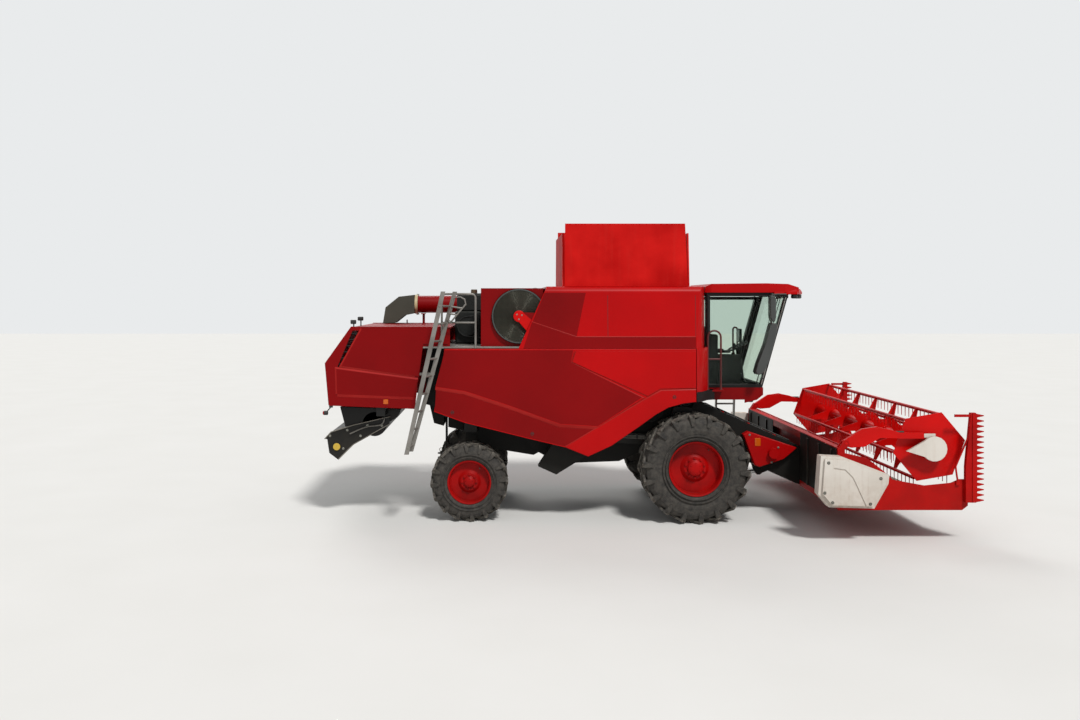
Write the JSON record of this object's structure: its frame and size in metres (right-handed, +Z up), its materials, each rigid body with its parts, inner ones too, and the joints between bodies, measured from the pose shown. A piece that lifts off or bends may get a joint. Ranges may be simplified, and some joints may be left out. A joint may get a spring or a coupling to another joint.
{
  "type": "combine harvester",
  "caption": "Self-propelled combine harvester with cutting header, reel, cab, grain tank, swinging unloading tube and rear hood.",
  "frame": {"origin": "on the ground below the middle of the machine's bounding box", "axes": "+X forward towards the header, +Y to the machine's left, +Z up"},
  "size_m": [10.5098, 6, 5.0753],
  "materials": {
    "body_paint": "vivid red enamel, dusty",
    "dark_red_paint": "darker red enamel",
    "rim_paint": "red enamel with dust",
    "black_paint": "black chassis paint under dust",
    "housing_sheet": "dark dusty sheet steel",
    "grey_paint": "light grey enamel",
    "screen_mesh": "perforated sheet, olive with dust",
    "engine_block": "grey castings",
    "tyre_rubber": "black rubber, dusty lugs",
    "cab_glazing": "tinted safety glass",
    "cab_trim": "black moulded plastic",
    "lamp_body": "grey moulded plastic",
    "white_shield": "off-white moulded shields",
    "knife_steel": "worn bright steel",
    "spout_rubber": "olive black rubber",
    "fuel_plastic": "black moulded tank",
    "seat_cloth": "dark woven cloth",
    "rod_chrome": "hard chromed rod"
  },
  "bodies": {
    "machine": {"chassis_frame": "black_paint", "rear_axle": "black_paint", "threshing_housing": "housing_sheet", "upper_body": "body_paint", "rear_hood": "body_paint", "straw_chopper": "black_paint", "grain_tank": "dark_red_paint", "engine": "engine_block", "fuel_tank": "fuel_plastic", "cooler_housing": "body_paint", "engine_deck": "grey_paint", "rear_ladder": "grey_paint", "side_drives": "housing_sheet", "cab_base": "body_paint", "cab_frame": "black_paint", "cab_roof": "body_paint", "cab_glass": "cab_glazing", "cab_seat": "cab_trim", "seat_cushions": "seat_cloth", "handrails": "black_paint", "mirrors": "cab_trim", "lamps": "lamp_body", "boarding_platform": "grey_paint"},
    "cab_door": {"cab_door": "black_paint", "door_glass": "cab_glazing"},
    "boarding_ladder": {"boarding_ladder": "grey_paint"},
    "side_panel_right": {"side_panel_right": "body_paint"},
    "side_panel_left": {"side_panel_left": "body_paint"},
    "tank_flap_right": {"tank_flap_right": "body_paint"},
    "tank_flap_left": {"tank_flap_left": "body_paint"},
    "tank_flap_front": {"tank_flap_front": "body_paint"},
    "tank_flap_rear": {"tank_flap_rear": "body_paint"},
    "unloading_auger": {"unloading_tube": "body_paint", "unloading_spout": "spout_rubber"},
    "dust_screen": {"dust_screen": "screen_mesh"},
    "front_wheel_right": {"front_tyre_right": "tyre_rubber", "front_rim_right": "rim_paint"},
    "front_wheel_left": {"front_tyre_left": "tyre_rubber", "front_rim_left": "rim_paint"},
    "knuckle_right": {"knuckle_right": "black_paint"},
    "knuckle_left": {"knuckle_left": "black_paint"},
    "tie_rod": {"tie_rod": "black_paint"},
    "rear_wheel_right": {"rear_tyre_right": "tyre_rubber", "rear_rim_right": "rim_paint"},
    "rear_wheel_left": {"rear_tyre_left": "tyre_rubber", "rear_rim_left": "rim_paint"},
    "header": {"feeder_house": "housing_sheet", "feeder_drive": "body_paint", "header_table": "body_paint", "cutter_bar": "knife_steel", "side_knives": "knife_steel", "end_shields": "white_shield"},
    "intake_auger": {"intake_auger": "body_paint"},
    "reel_arms": {"reel_arms": "body_paint"},
    "reel_carriage": {"reel_carriage": "white_shield"},
    "reel": {"reel": "body_paint", "reel_tines": "dark_red_paint"},
    "lift_barrels": {"lift_barrels": "black_paint"},
    "lift_rods": {"lift_rods": "rod_chrome"}
  },
  "joints": [
    {"name": "front_wheel_right_spin", "type": "hinge", "parent": "machine", "child": "front_wheel_right", "pos_m": [1.05, -1.325, 0.92], "axis": [0, 1, 0], "continuous": true},
    {"name": "front_wheel_left_spin", "type": "hinge", "parent": "machine", "child": "front_wheel_left", "pos_m": [1.05, 1.325, 0.92], "axis": [0, 1, 0], "continuous": true},
    {"name": "steer_right", "type": "hinge", "parent": "machine", "child": "knuckle_right", "pos_m": [-2.767, -0.91, 0.665], "axis": [0, 0, 1], "range_deg": [-45, 45]},
    {"name": "steer_left", "type": "hinge", "parent": "machine", "child": "knuckle_left", "pos_m": [-2.767, 0.91, 0.665], "axis": [0, 0, 1], "range_deg": [-45, 45]},
    {"name": "tie_rod_swing", "type": "hinge", "parent": "knuckle_right", "child": "tie_rod", "pos_m": [-2.967, -0.91, 0.578], "axis": [0, 0, 1], "range_deg": [-45, 45]},
    {"name": "rear_wheel_right_spin", "type": "hinge", "parent": "knuckle_right", "child": "rear_wheel_right", "pos_m": [-2.767, -1.23, 0.665], "axis": [0, 1, 0], "continuous": true},
    {"name": "rear_wheel_left_spin", "type": "hinge", "parent": "knuckle_left", "child": "rear_wheel_left", "pos_m": [-2.767, 1.23, 0.665], "axis": [0, 1, 0], "continuous": true},
    {"name": "header_lift", "type": "hinge", "parent": "machine", "child": "header", "pos_m": [1.15, 0, 1.68], "axis": [0, -1, 0], "range_deg": [-6, 16]},
    {"name": "intake_auger_spin", "type": "hinge", "parent": "header", "child": "intake_auger", "pos_m": [3.53, 0, 0.85], "axis": [0, 1, 0], "continuous": true},
    {"name": "reel_lift", "type": "hinge", "parent": "header", "child": "reel_arms", "pos_m": [3.16, 0, 1.52], "axis": [0, -1, 0], "range_deg": [-5, 25]},
    {"name": "reel_slide", "type": "slide", "parent": "reel_arms", "child": "reel_carriage", "axis": [1, 0, 0], "range_m": [0, 0.24]},
    {"name": "reel_spin", "type": "hinge", "parent": "reel_carriage", "child": "reel", "pos_m": [4.502, 0, 1.456], "axis": [0, 1, 0], "continuous": true},
    {"name": "lift_barrel_swing", "type": "hinge", "parent": "machine", "child": "lift_barrels", "pos_m": [1.21, 0, 0.56], "axis": [0, -1, 0], "range_deg": [-6, 15]},
    {"name": "lift_rod_slide", "type": "slide", "parent": "lift_barrels", "child": "lift_rods", "axis": [0.9909, 0, 0.1347], "range_m": [-0.13, 0.32]},
    {"name": "unloading_swing", "type": "hinge", "parent": "machine", "child": "unloading_auger", "pos_m": [0.6, 1.365, 3.6], "axis": [0, 0, -1], "range_deg": [0, 100]},
    {"name": "dust_screen_spin", "type": "hinge", "parent": "machine", "child": "dust_screen", "pos_m": [-1.921, -1.41, 3.482], "axis": [0, 1, 0], "continuous": true},
    {"name": "side_panel_right_lift", "type": "hinge", "parent": "machine", "child": "side_panel_right", "pos_m": [-1, -1.475, 2.921], "axis": [-1, 0, 0], "range_deg": [0, 60]},
    {"name": "side_panel_left_lift", "type": "hinge", "parent": "machine", "child": "side_panel_left", "pos_m": [-1, 1.475, 2.921], "axis": [1, 0, 0], "range_deg": [0, 60]},
    {"name": "tank_flap_right_fold", "type": "hinge", "parent": "machine", "child": "tank_flap_right", "pos_m": [-0.05, -1.14, 4.002], "axis": [-1, 0, 0], "range_deg": [0, 90]},
    {"name": "tank_flap_left_fold", "type": "hinge", "parent": "machine", "child": "tank_flap_left", "pos_m": [-0.05, 1.14, 4.002], "axis": [1, 0, 0], "range_deg": [0, 90]},
    {"name": "tank_flap_front_fold", "type": "hinge", "parent": "machine", "child": "tank_flap_front", "pos_m": [1.015, 0, 3.97], "axis": [0, -1, 0], "range_deg": [0, 90]},
    {"name": "tank_flap_rear_fold", "type": "hinge", "parent": "machine", "child": "tank_flap_rear", "pos_m": [-1.155, 0, 3.97], "axis": [0, 1, 0], "range_deg": [0, 90]},
    {"name": "cab_door_swing", "type": "hinge", "parent": "machine", "child": "cab_door", "pos_m": [1.626, 0.866, 3], "axis": [0, 0, 1], "range_deg": [0, 85]},
    {"name": "boarding_ladder_swing", "type": "hinge", "parent": "machine", "child": "boarding_ladder", "pos_m": [2.47, 1.5, 2], "axis": [0, 0, -1], "range_deg": [0, 90]}
  ],
  "couplings": [
    {"joint": "steer_left", "follows": "steer_right", "ratio": 1},
    {"joint": "tie_rod_swing", "follows": "steer_right", "ratio": -1},
    {"joint": "lift_barrel_swing", "follows": "header_lift", "ratio": 0.86},
    {"joint": "lift_rod_slide", "follows": "header_lift", "m_per_rad": 1.1}
  ]
}
